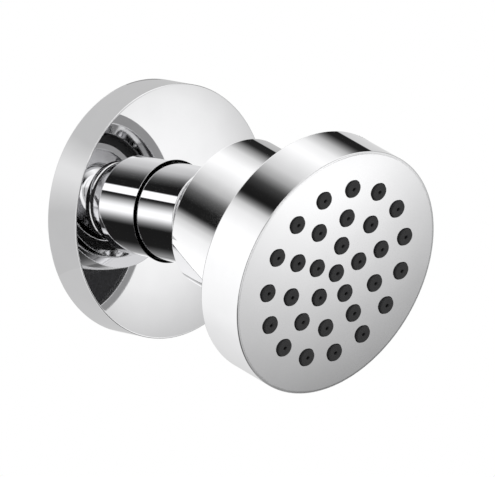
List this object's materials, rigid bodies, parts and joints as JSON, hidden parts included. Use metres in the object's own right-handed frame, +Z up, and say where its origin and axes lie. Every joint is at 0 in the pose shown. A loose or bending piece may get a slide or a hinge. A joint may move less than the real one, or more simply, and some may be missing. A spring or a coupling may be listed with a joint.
{
  "type": "shower body jet",
  "caption": "Round chrome shower body jet: flat nozzle head on a ball joint that tilts, turns and spins, on a short neck with a slip-on round wall flange and a threaded inlet.",
  "frame": {"origin": "centre of the inlet's mouth, on the wall plane", "axes": "+Z up, -Y out of the wall into the room, so the nozzle face is in front when looking along +Y"},
  "size_m": [0.065, 0.0795, 0.0714],
  "materials": {
    "polished_chrome": "mirror polished plating on brass",
    "face_chrome": "polished plating with a soft sheen",
    "satin_chrome": "satin plating",
    "bare_brass": "turned, unplated",
    "punched_steel": "punched stainless sheet",
    "black_rubber": "moulded, matt",
    "nozzle_rubber": "moulded silicone, soft matt",
    "foam_rubber": "closed-cell foam",
    "dark_plastic": "moulded, smooth",
    "white_plastic": "moulded acetal"
  },
  "bodies": {
    "wall_side": {"neck_body": "polished_chrome", "inlet_strainer": "punched_steel", "inlet_washer": "black_rubber", "flow_regulator": "white_plastic", "regulator_o_ring": "black_rubber", "stem_washer": "black_rubber", "ball_stem": "polished_chrome"},
    "flange": {"wall_flange": "polished_chrome", "flange_gasket": "foam_rubber", "flange_o_ring": "black_rubber"},
    "ball_ring": {"ball_o_ring": "black_rubber"},
    "seat": {"ball_seat_ring": "white_plastic"},
    "head": {"ball_retainer": "satin_chrome", "swivel_cup": "polished_chrome", "bumper_ring": "black_rubber", "cup_washer": "black_rubber", "cup_nut": "bare_brass", "head_shell": "polished_chrome", "back_plate": "dark_plastic", "diffuser_plate": "white_plastic", "head_o_ring": "black_rubber", "nozzle_mat": "nozzle_rubber", "face_plate": "face_chrome"}
  },
  "joints": [
    {"name": "flange_slide", "type": "slide", "parent": "wall_side", "child": "flange", "axis": [0, -1, 0], "range_m": [0, 0.008]},
    {"name": "neck_turn", "type": "hinge", "parent": "wall_side", "child": "ball_ring", "pos_m": [0, -0.0428, 0], "axis": [0, -1, 0], "continuous": true},
    {"name": "head_tilt", "type": "hinge", "parent": "ball_ring", "child": "seat", "pos_m": [0, -0.0428, 0], "axis": [1, 0, 0], "range_deg": [-35, 5]},
    {"name": "head_spin", "type": "hinge", "parent": "seat", "child": "head", "pos_m": [0, -0.0428, 0], "axis": [0, -0.9659, -0.2588], "continuous": true}
  ]
}
